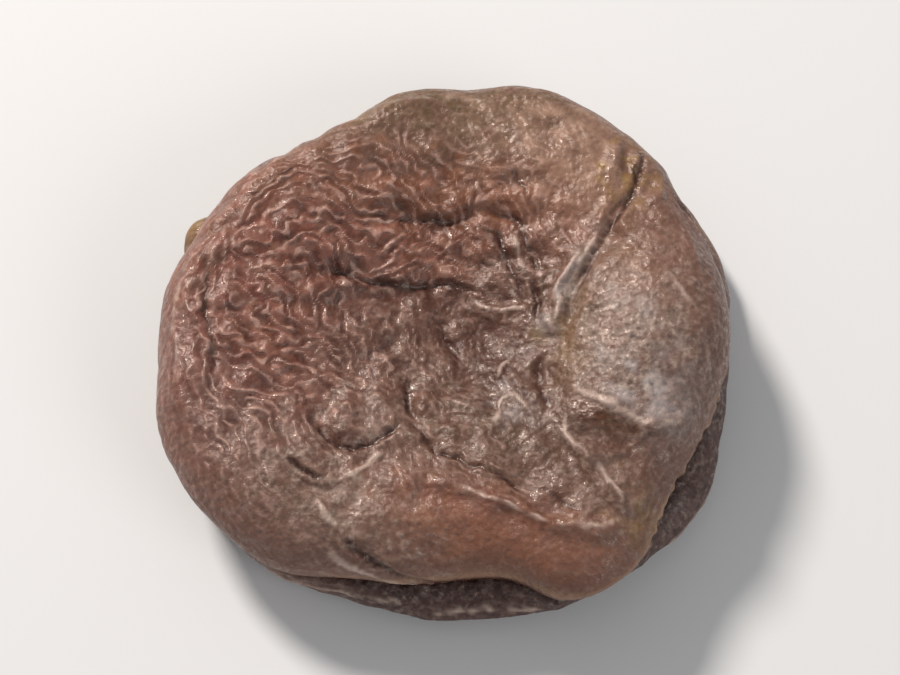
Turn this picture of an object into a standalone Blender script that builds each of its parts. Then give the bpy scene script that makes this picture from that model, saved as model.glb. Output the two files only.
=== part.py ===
"""A dried apricot: a whole ripe fruit, stoned through a split in its rim, pressed flat and dried.

The fruit is one piece of flesh and skin, so it is one closed solid, "apricot". It lies on its
underside, +Z up, with its split and its lower lip towards -Y and its longest width along X.

The form starts as a cube whose faces are cut into a grid. Its top becomes the dished upper face,
its sides roll over the rim and dip into the split, and its bottom becomes the flattened underside.
Named humps and folds are then laid on, and the skin is buckled into wrinkles. The form is laid
out in millimetres, a little larger than life, and is then brought to its real length.
"""

import math

import bmesh
import bpy
import numpy as np

MM = 0.001
LENGTH = 42.0  # the real fruit's longest width; all figures below are for one of about 45

# Driving dimensions
BREADTH = 0.985  # the fruit's breadth along Y, as a share of its length along X
SPLIT_LEVEL = 4.9  # height of the split above the surface the fruit lies on
LOWER_ROLL = 7.0  # how far in from its edge the lower half rolls over
DISH_DEPTH = 2.7  # how far the pressed middle lies below the rim's crest
LIP_ROUNDING = 1.2  # how far the lips round back towards the split
LIP_HEIGHT = 1.7  # height of that rounding
LIP_TUCK = 0.85  # share of a lip's reach past the other that it rounds back as well
LIP_STEP = 0.12  # radians of the rim's turn over which one lip gives way to the other
UNDERSIDE_LIFT = 0.9  # rise of the underside round its flat spot
FLAT_SPOT = 6.0  # radius of the flat that the fruit rests on
LIFTED_AT = 14.0  # radius at which the underside has its full rise

# Round the fruit, each as (angle in degrees from +X, value in mm)
UPPER_REACH = (
    (0, 22.8), (22, 22.6), (50, 23.8), (68, 24.7), (92, 22.9), (120, 20.9), (150, 22.1), (180, 23.0),
    (208, 24.4), (232, 24.0), (254, 21.4), (275, 20.5), (302, 25.6), (322, 21.9), (342, 21.9),
)
LOWER_REACH = (
    (0, 23.6), (20, 25.9), (36, 26.4), (60, 23.2), (90, 22.4), (118, 23.8), (136, 21.8), (153, 26.0),
    (170, 22.4), (208, 24.1), (232, 24.0), (254, 23.7), (275, 24.3), (302, 24.0), (326, 25.3), (345, 24.1),
)
SPLIT_DEPTH = (
    (0, 2.0), (20, 2.6), (45, 1.2), (72, 0.6), (98, 0.8), (120, 2.2), (145, 0.8), (165, 1.4),
    (185, 0.2), (210, 0.1), (234, 0.3), (252, 1.8), (275, 3.6), (302, 4.0), (326, 4.0), (345, 2.4),
)
SPLIT_GAP = (
    (0, 0.24), (20, 0.3), (50, 0.22), (90, 0.2), (120, 0.3), (150, 0.22), (200, 0.25), (240, 0.25),
    (275, 0.26), (302, 0.3), (326, 0.36), (345, 0.26),
)
SPLIT_RISE = (
    (0, 0.3), (20, 0.0), (40, -0.3), (60, -0.2), (80, -0.6), (100, 0.0), (120, 0.5), (140, 0.1),
    (165, 0.4), (185, 0.0), (205, -0.3), (225, -0.4), (240, -0.8), (258, -0.3), (275, -0.6),
    (290, 0.1), (302, 0.5), (316, 0.1), (330, 0.6), (345, 0.1),
)
UPPER_ROLL = (  # how far in from its edge the upper half rolls over, tightly but for the front
    (0, 4.0), (45, 3.6), (90, 3.2), (135, 3.4), (180, 3.4), (215, 4.2), (245, 5.0), (275, 5.4),
    (305, 5.4), (335, 4.2),
)
UPPER_THICKNESS = (
    (0, 5.4), (40, 5.0), (75, 4.8), (110, 5.4), (150, 6.0), (185, 6.1), (215, 5.7), (245, 5.4),
    (275, 5.0), (302, 4.3), (330, 5.0),
)
STATION_SHARPNESS = 40.0  # how closely a curve round the fruit keeps to its stations

# Broad swellings and hollows: x, y, half-length, half-width, turn in degrees, height
UPPER_HUMPS = (
    (14.8, -1.0, 8.2, 5.0, 82, 1.5),  # smooth lobe on the right of the seam
    (13.2, -10.0, 3.4, 1.6, -35, -0.8),  # hollow in front of that lobe
    (1.6, -0.2, 5.0, 3.8, -30, -0.8),  # bed of the stone
    (-6.7, -7.4, 2.9, 2.2, 10, 0.55),  # small pillow held between two creases
    (-13.5, 6.0, 9.0, 5.0, 60, 0.6),  # left shoulder
    (3.0, 14.5, 9.0, 3.6, 5, 0.4),  # shoulder at the back
    (-15.0, -9.0, 6.0, 3.2, -50, 0.4),  # shoulder at the front left
    (5.0, -8.5, 4.0, 2.6, 20, 0.4),  # cushion in front of the stone's bed
)
LOWER_HUMPS = (
    (-8.0, 11.0, 6.0, 3.0, 30, -0.5),
    (-22.5, 12.0, 2.2, 1.6, 62, 0.7),
    (12.0, 7.0, 5.0, 3.4, -60, -0.6),
    (-12.0, -8.0, 5.0, 2.6, -50, -0.5),
    (8.0, -12.5, 6.5, 2.4, 20, -0.6),
)

# Folds: height (below zero for a crease), half-width, and the points the fold runs through
UPPER_FOLDS = (
    (-0.8, 0.7, ((15.9, 16.6), (15.4, 13.6), (14.0, 10.2), (12.4, 7.5), (10.9, 4.4), (8.6, -0.2))),  # seam
    (0.4, 0.8, ((9.6, -5.8), (12.2, -7.4), (14.8, -8.8), (17.8, -8.6))),  # front edge of the lobe
    (0.35, 0.7, ((11.3, 7.2), (10.0, 5.0), (9.0, 2.7), (8.2, 0.7))),  # bank of the seam
    (-0.6, 1.3, ((7.4, 0.0), (7.0, -3.5), (7.8, -7.1), (9.2, -11.6))),  # foot of the lobe
    (0.75, 0.75, ((-1.9, -12.8), (1.5, -14.0), (4.5, -15.4), (8.1, -16.6), (11.2, -16.7), (12.8, -15.5))),
    (0.6, 0.65, ((9.0, -7.8), (9.3, -9.8), (10.6, -11.4), (12.1, -13.4), (13.2, -15.4))),
    (-0.6, 0.6, ((-3.1, -3.9), (-3.2, -5.8), (-3.0, -7.8))),
    (-0.6, 0.6, ((-3.6, -8.4), (-5.4, -9.7), (-7.4, -10.3), (-8.9, -9.6), (-9.9, -8.2), (-10.3, -6.4))),
    (-0.5, 0.6, ((-12.1, -11.2), (-10.7, -12.7), (-9.0, -13.5))),
    (0.4, 0.6, ((-9.8, -14.7), (-9.2, -16.1), (-8.2, -17.3))),
    (-0.4, 0.65, ((-2.9, -7.8), (-0.7, -10.4), (1.8, -11.7), (4.1, -12.7), (5.8, -14.0))),
    (-0.65, 0.7, ((-11.3, 5.6), (-8.4, 4.8), (-4.8, 4.0), (-1.2, 4.0), (2.4, 3.7))),
    (-0.4, 0.9, ((-5.8, 9.4), (-1.8, 9.3), (2.4, 10.0), (6.3, 8.8))),
    (0.4, 0.6, ((1.4, 3.2), (3.4, 1.9), (5.0, 1.7), (6.8, 2.2))),
    (0.35, 0.65, ((-2.1, 2.2), (-1.0, -1.4), (0.4, -3.5))),
    (-0.2, 0.9, ((-7.0, 17.2), (-1.0, 18.4), (5.6, 17.6))),
    (-0.15, 0.9, ((-4.0, 20.4), (2.0, 21.2), (8.6, 19.8))),
    (-0.35, 0.8, ((-18.4, 4.4), (-17.8, -0.6), (-16.8, -5.4))),
    (-0.25, 0.8, ((-21.4, 6.2), (-21.0, 0.4), (-20.0, -4.8))),
)
LOWER_FOLDS = (
    (-0.7, 1.0, ((6.4, 4.0), (9.6, 5.0), (12.6, 8.4), (17.0, 9.6))),
    (-0.7, 0.8, ((-3.0, 9.6), (-8.6, 10.2), (-12.6, 13.0))),
    (-0.8, 0.9, ((-7.6, -4.6), (-11.0, -3.0), (-14.0, 1.4), (-14.6, 6.0))),
    (-0.7, 0.8, ((1.0, -9.6), (4.6, -12.0), (9.6, -12.6), (13.4, -9.0))),
    (0.6, 0.8, ((9.0, -4.0), (13.0, -4.6), (16.6, -1.6))),
    (-0.5, 0.7, ((-4.0, -19.6), (2.0, -20.6), (8.0, -20.0))),
    (-0.5, 0.7, ((-11.0, -15.6), (-15.0, -12.6), (-17.6, -8.6))),
    (0.5, 0.7, ((2.0, 13.0), (7.0, 14.6), (10.6, 13.0))),
)
FOLD_FADE = 1.8  # length over which a fold rises from its ends
BANK_HEIGHT = 0.35  # height of a crease's raised banks, as a share of its depth
BANK_PLACE = 2.1  # distance of a bank from its crease, in half-widths
SPLIT_CALM = 0.6  # height beside the split over which folds and wrinkles die away

# Skin wrinkles
SKIN_SIDE = 80.0  # side of the square of skin that is buckled, and repeats beyond it
SKIN_CELLS = 256
FOLD_SPACING = 3.4  # from one wrinkle to the next
FOLD_HEIGHT = 0.13
RIM_CALM = 0.75  # share of the wrinkles that the tight rim pulls flat
CREST_AT, EDGE_AT = 18.0, 23.0  # distances over the skin between which they are pulled flat
DRAWN_SIZE = 7.0  # size of the patches of skin that are drawn to and fro, so that folds wander
DRAWN = 0.4  # how far they are drawn
GRAIN = math.radians(-40)  # direction that wrinkles tend to run in
GRAIN_SIZE = 18.0  # size of the patches over which that direction turns
GRAIN_TURN = 0.5  # how far it turns, in radians
BUCKLE_STEPS = 24
BUCKLE_STEP = 0.35
BUCKLE_GROWTH = 0.6
BUCKLE_LINING = 0.06  # how strongly wrinkles keep to the grain's direction
START_NOISE = 0.3
BAND_WIDTH = 0.4  # spread of sizes, as a power of e, among a drift map's hills
UPPER_SEED, LOWER_SEED = 5, 11
# Calm patches, where the skin is smooth: x, y, half-length, half-width, turn, share of calm
UPPER_CALM = (
    (14.5, -1.0, 8.0, 6.0, 80, 0.8),
    (-12.0, -14.0, 8.0, 5.0, -45, 0.6),
    (6.0, -19.5, 10.0, 4.0, -12, 0.8),
    (4.0, 19.0, 11.0, 4.0, 0, 0.55),
    (11.0, 13.0, 4.0, 4.0, 0, 0.5),
)
LOWER_CALM = ((12.0, 12.0, 9.0, 7.0, 40, 0.5),)

# Fineness of the solid
FACE_CUTS = 89  # cuts across the upper face, and as many across the underside
RIM_CUTS = 31  # cuts down the rim; an odd number puts one in the split
ROW_CROWDING = 1.45  # crowds the rim's rows towards the split
SHARE_KEPT = 0.19  # share of those triangles kept, where the form needs them
PRESSED = 0.08  # the last thinness that is pressed off, so that the flat spot is flat


def around(angle, stations):
    """A smooth closed curve through stations round the fruit, as a weighted mean of the nearest."""
    places = np.radians([place for place, _ in stations])
    values = np.array([value for _, value in stations])
    weights = np.exp(STATION_SHARPNESS * (np.cos(angle[:, None] - places) - 1))
    return weights @ values / weights.sum(axis=1)


def ease(low, high, value):
    """0 below low, 1 above high, and a smooth step between."""
    share = np.clip((value - low) / (high - low), 0, 1)
    return share * share * (3 - 2 * share)


def patch(x, y, middle_x, middle_y, length, width, turn):
    """1 in the middle of an oval patch, falling smoothly to 0 outside it."""
    cosine, sine = math.cos(math.radians(turn)), math.sin(math.radians(turn))
    along = (x - middle_x) * cosine + (y - middle_y) * sine
    across = (y - middle_y) * cosine - (x - middle_x) * sine
    return np.exp(-((along / length) ** 2) - (across / width) ** 2)


def fold_height(x, y, folds):
    """The height that the folds add. A crease has raised banks, and a ridge has none."""
    height = np.zeros_like(x)
    for rise, half_width, points in folds:
        nearest = np.full_like(x, np.inf)
        place = np.zeros_like(x)
        run = 0.0
        for (x0, y0), (x1, y1) in zip(points, points[1:]):
            length = math.hypot(x1 - x0, y1 - y0)
            step_x, step_y = (x1 - x0) / length, (y1 - y0) / length
            along = np.clip((x - x0) * step_x + (y - y0) * step_y, 0, length)
            distance = np.hypot(x - x0 - along * step_x, y - y0 - along * step_y)
            place = np.where(distance < nearest, run + along, place)
            nearest = np.minimum(distance, nearest)
            run += length
        fade = ease(-0.3 * FOLD_FADE, FOLD_FADE, np.minimum(place, run - place))
        widths = nearest / half_width
        shape = np.exp(-(widths**2))
        if rise < 0:
            shape -= BANK_HEIGHT * np.exp(-((widths - BANK_PLACE) ** 2))
        height += rise * fade * shape
    return height


class Skin:
    """A square of skin on a grid, buckled into wrinkles as the flesh under it shrinks."""

    def __init__(self, seed):
        self.cell = SKIN_SIDE / SKIN_CELLS
        self.random = np.random.default_rng(seed)
        self.wave_x = 2 * math.pi * np.fft.fftfreq(SKIN_CELLS, self.cell)[:, None]
        self.wave_y = 2 * math.pi * np.fft.rfftfreq(SKIN_CELLS, self.cell)[None, :]

    def noise(self, spread):
        return self.random.normal(0, spread, (SKIN_CELLS, SKIN_CELLS))

    def back(self, spectrum):
        return np.fft.irfft2(spectrum, (SKIN_CELLS, SKIN_CELLS))

    def drift(self, size):
        """Smooth random hills about one size across, with a spread of 1."""
        wave = np.hypot(self.wave_x, self.wave_y) * size / (2 * math.pi)
        wave[0, 0] = np.inf
        band = np.exp(-0.5 * (np.log(wave) / BAND_WIDTH) ** 2)
        hills = self.back(np.fft.rfft2(self.noise(1)) * band)
        return hills / hills.std()

    def buckle(self, spacing):
        """Wrinkles one spacing apart, grown from noise by the Swift-Hohenberg equation."""
        wave_x = self.wave_x * spacing / (2 * math.pi)
        wave_y = self.wave_y * spacing / (2 * math.pi)
        damping = 1 + BUCKLE_STEP * ((1 - wave_x**2 - wave_y**2) ** 2 - BUCKLE_GROWTH)
        grain = GRAIN + GRAIN_TURN * self.drift(GRAIN_SIZE)
        cosine, sine = np.cos(grain), np.sin(grain)
        height = self.noise(START_NOISE)
        for _ in range(BUCKLE_STEPS):
            spectrum = -np.fft.rfft2(height)
            lined = (
                cosine**2 * self.back(wave_x**2 * spectrum)
                + 2 * cosine * sine * self.back(wave_x * wave_y * spectrum)
                + sine**2 * self.back(wave_y**2 * spectrum)
            )
            pushed = height + BUCKLE_STEP * (BUCKLE_LINING * lined - height**3)
            height = self.back(np.fft.rfft2(pushed) / damping)
        return height / height.std()

    def at(self, heights, x, y):
        """The value of a map of the skin at points in millimetres, between its cells."""
        column, row = x / self.cell, y / self.cell
        i, j = np.floor(column).astype(int), np.floor(row).astype(int)
        a, b = column - i, row - j
        i, j, over, up = i % SKIN_CELLS, j % SKIN_CELLS, (i + 1) % SKIN_CELLS, (j + 1) % SKIN_CELLS
        low = heights[i, j] * (1 - a) + heights[over, j] * a
        high = heights[i, up] * (1 - a) + heights[over, up] * a
        return low * (1 - b) + high * b


def base_form(cube):
    """Places on the smooth fruit for points of a cube of side 2, where each lies on the skin,
    its share of the upper half, and its height from the split."""
    a, b, c = cube.T
    flat_x, flat_y = a * np.sqrt(1 - b * b / 2), b * np.sqrt(1 - a * a / 2)
    out = np.minimum(np.hypot(flat_x, flat_y), 1)
    angle = np.arctan2(flat_y, flat_x)
    on_rim = np.maximum(np.abs(a), np.abs(b)) > 1 - 1e-6
    quarter = math.pi / 2
    turn = quarter * np.where(on_rim, np.sign(c) * np.abs(c) ** ROW_CROWDING, np.sign(c))

    upper = ease(-LIP_STEP, LIP_STEP, turn)
    roll = LOWER_ROLL + (around(angle, UPPER_ROLL) - LOWER_ROLL) * upper
    upper_past_lower = around(angle, UPPER_REACH) - around(angle, LOWER_REACH)
    reach = around(angle, LOWER_REACH) + upper_past_lower * upper
    past = np.maximum(np.where(turn > 0, upper_past_lower, -upper_past_lower), 0)
    split = SPLIT_LEVEL + around(angle, SPLIT_RISE)
    thickness = around(angle, UPPER_THICKNESS)
    crest = split + thickness
    middle_crest = SPLIT_LEVEL + np.mean([value for _, value in UPPER_THICKNESS])
    face = middle_crest + (crest - middle_crest) * out**2 - DISH_DEPTH * (1 - out**2) ** 2
    floor = UNDERSIDE_LIFT * ease(FLAT_SPOT, LIFTED_AT, out * (reach - roll))

    off = np.where(turn > 0, thickness, split - floor) * np.sin(turn)
    height = np.where(on_rim, split + off, np.where(c > 0, face, floor))
    gap, depth = around(angle, SPLIT_GAP), around(angle, SPLIT_DEPTH)
    lip = (LIP_ROUNDING + LIP_TUCK * past) * np.exp(-((off / LIP_HEIGHT) ** 2))
    cut = depth * np.exp(-(np.abs(off / gap) ** 3))
    radius = out * (reach - roll) + np.where(on_rim, roll * np.cos(turn) - lip - cut, 0.0)

    rounded = (roll + np.where(turn > 0, thickness, split)) / 2 * (quarter - np.abs(turn))
    skin_radius = out * (reach - roll) + np.where(on_rim, rounded, 0.0)
    place = np.stack([radius * np.cos(angle), radius * np.sin(angle) * BREADTH, height], axis=1)
    skin = np.stack([skin_radius * np.cos(angle), skin_radius * np.sin(angle)], axis=1)
    return place, skin, upper, np.where(on_rim, np.abs(off), np.inf)


def rise_of(skin_places, humps, folds, calm, seed):
    """How far one half's skin stands out of the smooth form: its humps, folds and wrinkles."""
    x, y = skin_places.T
    skin = Skin(seed)
    drawn_x = x + DRAWN * skin.at(skin.drift(DRAWN_SIZE), x, y)
    drawn_y = y + DRAWN * skin.at(skin.drift(DRAWN_SIZE), x, y)
    rough = FOLD_HEIGHT * (1 - RIM_CALM * ease(CREST_AT, EDGE_AT, np.hypot(x, y)))
    for *oval, share in calm:
        rough *= 1 - share * patch(x, y, *oval)
    rise = fold_height(drawn_x, drawn_y, folds)
    rise += rough * skin.at(skin.buckle(FOLD_SPACING), drawn_x, drawn_y)
    for *oval, height in humps:
        rise += height * patch(x, y, *oval)
    return rise


def relief(skin_places, upper, from_split):
    """How far the skin stands out of the smooth form all over, measured square to it."""
    above = rise_of(skin_places, UPPER_HUMPS, UPPER_FOLDS, UPPER_CALM, UPPER_SEED)
    below = rise_of(skin_places, LOWER_HUMPS, LOWER_FOLDS, LOWER_CALM, LOWER_SEED)
    out = np.hypot(*skin_places.T)
    below *= ease(FLAT_SPOT - 1, FLAT_SPOT + 2, out)
    settled = 1 - np.exp(-((from_split / SPLIT_CALM) ** 2))
    return (above * upper + below * (1 - upper)) * settled


def gridded_cube():
    """A cube of side 2 with its top and bottom cut one way and the other, and its sides down."""
    cube = bmesh.new()
    bmesh.ops.create_cube(cube, size=2.0)
    upright = [e for e in cube.edges if abs(e.verts[0].co.z - e.verts[1].co.z) > 1]
    bmesh.ops.subdivide_edges(cube, edges=upright, cuts=RIM_CUTS, use_grid_fill=True)
    for axis in range(2):
        level = [e for e in cube.edges if abs(e.verts[0].co[axis] - e.verts[1].co[axis]) > 1]
        bmesh.ops.subdivide_edges(cube, edges=level, cuts=FACE_CUTS, use_grid_fill=True)
    return cube


def places_of(mesh):
    return np.array([vertex.co for vertex in mesh.verts])


def move_to(mesh, places):
    for vertex, place in zip(mesh.verts, places):
        vertex.co = place
    mesh.normal_update()


def fewer_faces(form):
    """A mesh of the same form with fewer faces, most of them where it bends most."""
    fine = bpy.data.meshes.new("fine_form")
    form.to_mesh(fine)
    form.free()
    carrier = bpy.data.objects.new("fine_form", fine)
    bpy.context.scene.collection.objects.link(carrier)
    carrier.modifiers.new("fewer_faces", "DECIMATE").ratio = SHARE_KEPT
    thinned = bmesh.new()
    thinned.from_object(carrier, bpy.context.evaluated_depsgraph_get())
    bpy.data.objects.remove(carrier)
    bpy.data.meshes.remove(fine)
    return thinned


def apricot_form():
    """The whole fruit's form, in millimetres."""
    form = gridded_cube()
    place, skin_places, upper, from_split = base_form(places_of(form))
    move_to(form, place)
    square_out = np.array([vertex.normal for vertex in form.verts])
    place = place + square_out * relief(skin_places, upper, from_split)[:, None]
    place[:, 2] = np.maximum(place[:, 2], 0)
    move_to(form, place)
    return fewer_faces(form)


def apricot_mesh():
    """The fruit's closed mesh, in metres, centred over the surface it is pressed flat on."""
    form = apricot_form()
    place = places_of(form)
    place[:, 2] = np.maximum(place[:, 2] - PRESSED, 0)
    place[:, :2] -= (place[:, :2].min(axis=0) + place[:, :2].max(axis=0)) / 2
    move_to(form, place * MM * LENGTH / np.ptp(place[:, 0]))
    mesh = bpy.data.meshes.new("apricot")
    form.to_mesh(mesh)
    form.free()
    mesh.shade_smooth()
    return mesh


def dried_flesh():
    """Brown, leathery skin with a dull sugar gloss."""
    material = bpy.data.materials.new("dried_flesh")
    material.use_nodes = True
    surface = material.node_tree.nodes["Principled BSDF"]
    surface.inputs["Base Color"].default_value = (0.115, 0.047, 0.028, 1)
    surface.inputs["Roughness"].default_value = 0.45
    surface.inputs["Metallic"].default_value = 0
    return material


def main():
    for old in list(bpy.data.objects):
        bpy.data.objects.remove(old)
    fruit = bpy.data.objects.new("apricot", apricot_mesh())
    fruit.data.materials.append(dried_flesh())
    bpy.context.scene.collection.objects.link(fruit)


main()
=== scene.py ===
# %% [markdown]
# # A sun-dried apricot
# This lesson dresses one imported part, a dried apricot, for its picture. A dried apricot is one piece
# of flesh and skin: a ripe fruit was stoned through a split in its rim, pressed flat and dried in the
# sun. As the flesh shrank its skin stayed as large as before, so it buckled into wrinkles of several
# sizes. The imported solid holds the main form. Here the same form is cut much finer, and gets the
# small wrinkles, the colours and the gloss that a coarse solid can't hold.

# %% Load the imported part
import math

import bmesh
import bpy
import numpy as np
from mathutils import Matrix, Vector
from mathutils.bvhtree import BVHTree


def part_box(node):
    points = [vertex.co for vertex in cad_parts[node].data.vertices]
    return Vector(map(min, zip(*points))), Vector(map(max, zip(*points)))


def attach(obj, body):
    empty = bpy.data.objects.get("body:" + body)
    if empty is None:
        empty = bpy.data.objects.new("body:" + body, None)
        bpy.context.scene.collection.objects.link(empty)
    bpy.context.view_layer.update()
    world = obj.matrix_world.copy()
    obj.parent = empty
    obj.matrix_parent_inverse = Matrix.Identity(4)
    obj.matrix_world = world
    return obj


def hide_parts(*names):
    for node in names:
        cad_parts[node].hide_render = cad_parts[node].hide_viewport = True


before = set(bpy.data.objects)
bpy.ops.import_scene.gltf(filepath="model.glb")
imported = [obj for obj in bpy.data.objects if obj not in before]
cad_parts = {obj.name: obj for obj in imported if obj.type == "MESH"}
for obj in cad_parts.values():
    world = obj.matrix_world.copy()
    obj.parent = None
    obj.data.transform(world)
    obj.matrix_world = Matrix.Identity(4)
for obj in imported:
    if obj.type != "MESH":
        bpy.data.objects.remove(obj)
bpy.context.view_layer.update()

FRUIT = "apricot"
MM = 0.001

# %% [markdown]
# ## Curves round the fruit
# Seen from above, each half of the fruit has an outline of its own, and the split between them is
# deep in front and closed at the back. An outline could be a hand-drawn curve object. Here it is a
# list of stations, an angle and a value each, which is easy to read and to change. The value between
# two stations is a mean of all stations, weighted so that the nearest ones count most.

# %% Helpers for smooth curves and patches
STATION_SHARPNESS = 40.0  # how closely a curve round the fruit keeps to its stations


def around(angle, stations):
    places = np.radians([place for place, _ in stations])
    values = np.array([value for _, value in stations])
    weights = np.exp(STATION_SHARPNESS * (np.cos(angle[:, None] - places) - 1))
    return weights @ values / weights.sum(axis=1)


def ease(low, high, value):
    """0 below low, 1 above high, and a smooth step between."""
    share = np.clip((value - low) / (high - low), 0, 1)
    return share * share * (3 - 2 * share)


def patch(x, y, middle_x, middle_y, length, width, turn):
    """1 in the middle of an oval patch, falling smoothly to 0 outside it."""
    cosine, sine = math.cos(math.radians(turn)), math.sin(math.radians(turn))
    along = (x - middle_x) * cosine + (y - middle_y) * sine
    across = (y - middle_y) * cosine - (x - middle_x) * sine
    return np.exp(-((along / length) ** 2) - (across / width) ** 2)


# %% The fruit's sizes, laid out in mm for a fruit about 45 mm long
BREADTH = 0.985  # its breadth as a share of its length
SPLIT_LEVEL = 4.9  # height of the split above the table
LOWER_ROLL = 7.0  # how far in from the outline the lower half begins to roll over
DISH_DEPTH = 2.7  # how far the middle of the face is sunk
LIP_ROUNDING, LIP_HEIGHT, LIP_TUCK, LIP_STEP = 1.2, 1.7, 0.85, 0.12  # how the lips turn into the split
UNDERSIDE_LIFT, FLAT_SPOT, LIFTED_AT = 0.9, 6.0, 14.0  # how the underside rises from its flat spot
PRESSED = 0.08  # how much is pressed off the bottom

# Stations round the fruit, each an angle in degrees and a value in mm
UPPER_REACH = (
    (0, 22.8), (22, 22.6), (50, 23.8), (68, 24.7), (92, 22.9), (120, 20.9), (150, 22.1), (180, 23.0),
    (208, 24.4), (232, 24.0), (254, 21.4), (275, 20.5), (302, 25.6), (322, 21.9), (342, 21.9),
)
LOWER_REACH = (
    (0, 23.6), (20, 25.9), (36, 26.4), (60, 23.2), (90, 22.4), (118, 23.8), (136, 21.8), (153, 26.0),
    (170, 22.4), (208, 24.1), (232, 24.0), (254, 23.7), (275, 24.3), (302, 24.0), (326, 25.3), (345, 24.1),
)
SPLIT_DEPTH = (
    (0, 2.0), (20, 2.6), (45, 1.2), (72, 0.6), (98, 0.8), (120, 2.2), (145, 0.8), (165, 1.4),
    (185, 0.2), (210, 0.1), (234, 0.3), (252, 1.8), (275, 3.6), (302, 4.0), (326, 4.0), (345, 2.4),
)
SPLIT_GAP = (
    (0, 0.24), (20, 0.3), (50, 0.22), (90, 0.2), (120, 0.3), (150, 0.22), (200, 0.25), (240, 0.25),
    (275, 0.26), (302, 0.3), (326, 0.36), (345, 0.26),
)
SPLIT_RISE = (
    (0, 0.3), (20, 0.0), (40, -0.3), (60, -0.2), (80, -0.6), (100, 0.0), (120, 0.5), (140, 0.1),
    (165, 0.4), (185, 0.0), (205, -0.3), (225, -0.4), (240, -0.8), (258, -0.3), (275, -0.6),
    (290, 0.1), (302, 0.5), (316, 0.1), (330, 0.6), (345, 0.1),
)
UPPER_ROLL = (
    (0, 4.0), (45, 3.6), (90, 3.2), (135, 3.4), (180, 3.4), (215, 4.2), (245, 5.0), (275, 5.4),
    (305, 5.4), (335, 4.2),
)
UPPER_THICKNESS = (
    (0, 5.4), (40, 5.0), (75, 4.8), (110, 5.4), (150, 6.0), (185, 6.1), (215, 5.7), (245, 5.4),
    (275, 5.0), (302, 4.3), (330, 5.0),
)

# %% [markdown]
# ## A cube that becomes a fruit
# A round form needs a mesh with no crowded poles, because wrinkles pinch at a pole. A sphere from the
# editor's menu has two of them. A cube cut into a grid has none, and its squares stay nearly square
# when its top and bottom are rounded into discs. Its sides are cut into rows that roll over the rim,
# and the middle row dips into the split. The upper side is cut once more, because its wrinkles are
# the finest and the ones that are seen, while the underside can stay coarser.

# %% Cut a cube into a fine grid
FACE_CUTS = 101
RIM_CUTS = 29
ROW_CROWDING = 1.25  # crowds the rim's rows towards the split
FINER_ABOVE = -0.55  # how far down the rim the finer grid reaches, where -1 is the bottom
TINY = 1e-6


def gridded_cube():
    cube = bmesh.new()
    bmesh.ops.create_cube(cube, size=2.0)
    upright = [e for e in cube.edges if abs(e.verts[0].co.z - e.verts[1].co.z) > 1]
    bmesh.ops.subdivide_edges(cube, edges=upright, cuts=RIM_CUTS, use_grid_fill=True)
    for axis in range(2):
        level = [e for e in cube.edges if abs(e.verts[0].co[axis] - e.verts[1].co[axis]) > 1]
        bmesh.ops.subdivide_edges(cube, edges=level, cuts=FACE_CUTS, use_grid_fill=True)
    upper_faces = [f for f in cube.faces if f.calc_center_median().z > FINER_ABOVE]
    upper_edges = list({e for f in upper_faces for e in f.edges})
    bmesh.ops.subdivide_edges(cube, edges=upper_edges, cuts=1, use_grid_fill=True)
    return cube


cube = gridded_cube()
grid = bpy.data.meshes.new("grid")
cube.to_mesh(grid)
cube.free()
triangles = sum(len(face.vertices) - 2 for face in grid.polygons)
print("the grid has", len(grid.vertices), "points and", triangles, "triangles")


# %% Read and move all of a mesh's points at once
def read_vectors(items, name):
    values = np.empty(len(items) * 3, np.float32)
    items.foreach_get(name, values)
    return values.reshape(-1, 3).astype(float)


def move_points(mesh, places):
    mesh.vertices.foreach_set("co", places.astype(np.float32).ravel())
    mesh.update()


# %% Roll the grid into the smooth fruit
a, b, c = read_vectors(grid.vertices, "co").T
flat_x, flat_y = a * np.sqrt(1 - b * b / 2), b * np.sqrt(1 - a * a / 2)
out = np.minimum(np.hypot(flat_x, flat_y), 1)
angle = np.arctan2(flat_y, flat_x)
on_rim = np.maximum(np.abs(a), np.abs(b)) > 1 - TINY
quarter = math.pi / 2
turn = quarter * np.where(on_rim, np.sign(c) * np.abs(c) ** ROW_CROWDING, np.sign(c))

upper = ease(-LIP_STEP, LIP_STEP, turn)
roll = LOWER_ROLL + (around(angle, UPPER_ROLL) - LOWER_ROLL) * upper
upper_past_lower = around(angle, UPPER_REACH) - around(angle, LOWER_REACH)
reach = around(angle, LOWER_REACH) + upper_past_lower * upper
past = np.maximum(np.where(turn > 0, upper_past_lower, -upper_past_lower), 0)
split = SPLIT_LEVEL + around(angle, SPLIT_RISE)
thickness = around(angle, UPPER_THICKNESS)
crest = split + thickness
middle_crest = SPLIT_LEVEL + np.mean([value for _, value in UPPER_THICKNESS])
face = middle_crest + (crest - middle_crest) * out**2 - DISH_DEPTH * (1 - out**2) ** 2
floor_level = UNDERSIDE_LIFT * ease(FLAT_SPOT, LIFTED_AT, out * (reach - roll))

off = np.where(turn > 0, thickness, split - floor_level) * np.sin(turn)
height = np.where(on_rim, split + off, np.where(c > 0, face, floor_level))
gap, depth = around(angle, SPLIT_GAP), around(angle, SPLIT_DEPTH)
lip = (LIP_ROUNDING + LIP_TUCK * past) * np.exp(-((off / LIP_HEIGHT) ** 2))
cut = depth * np.exp(-(np.abs(off / gap) ** 3))
radius = out * (reach - roll) + np.where(on_rim, roll * np.cos(turn) - lip - cut, 0.0)
from_split = np.where(on_rim, np.abs(off), np.inf)

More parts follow.
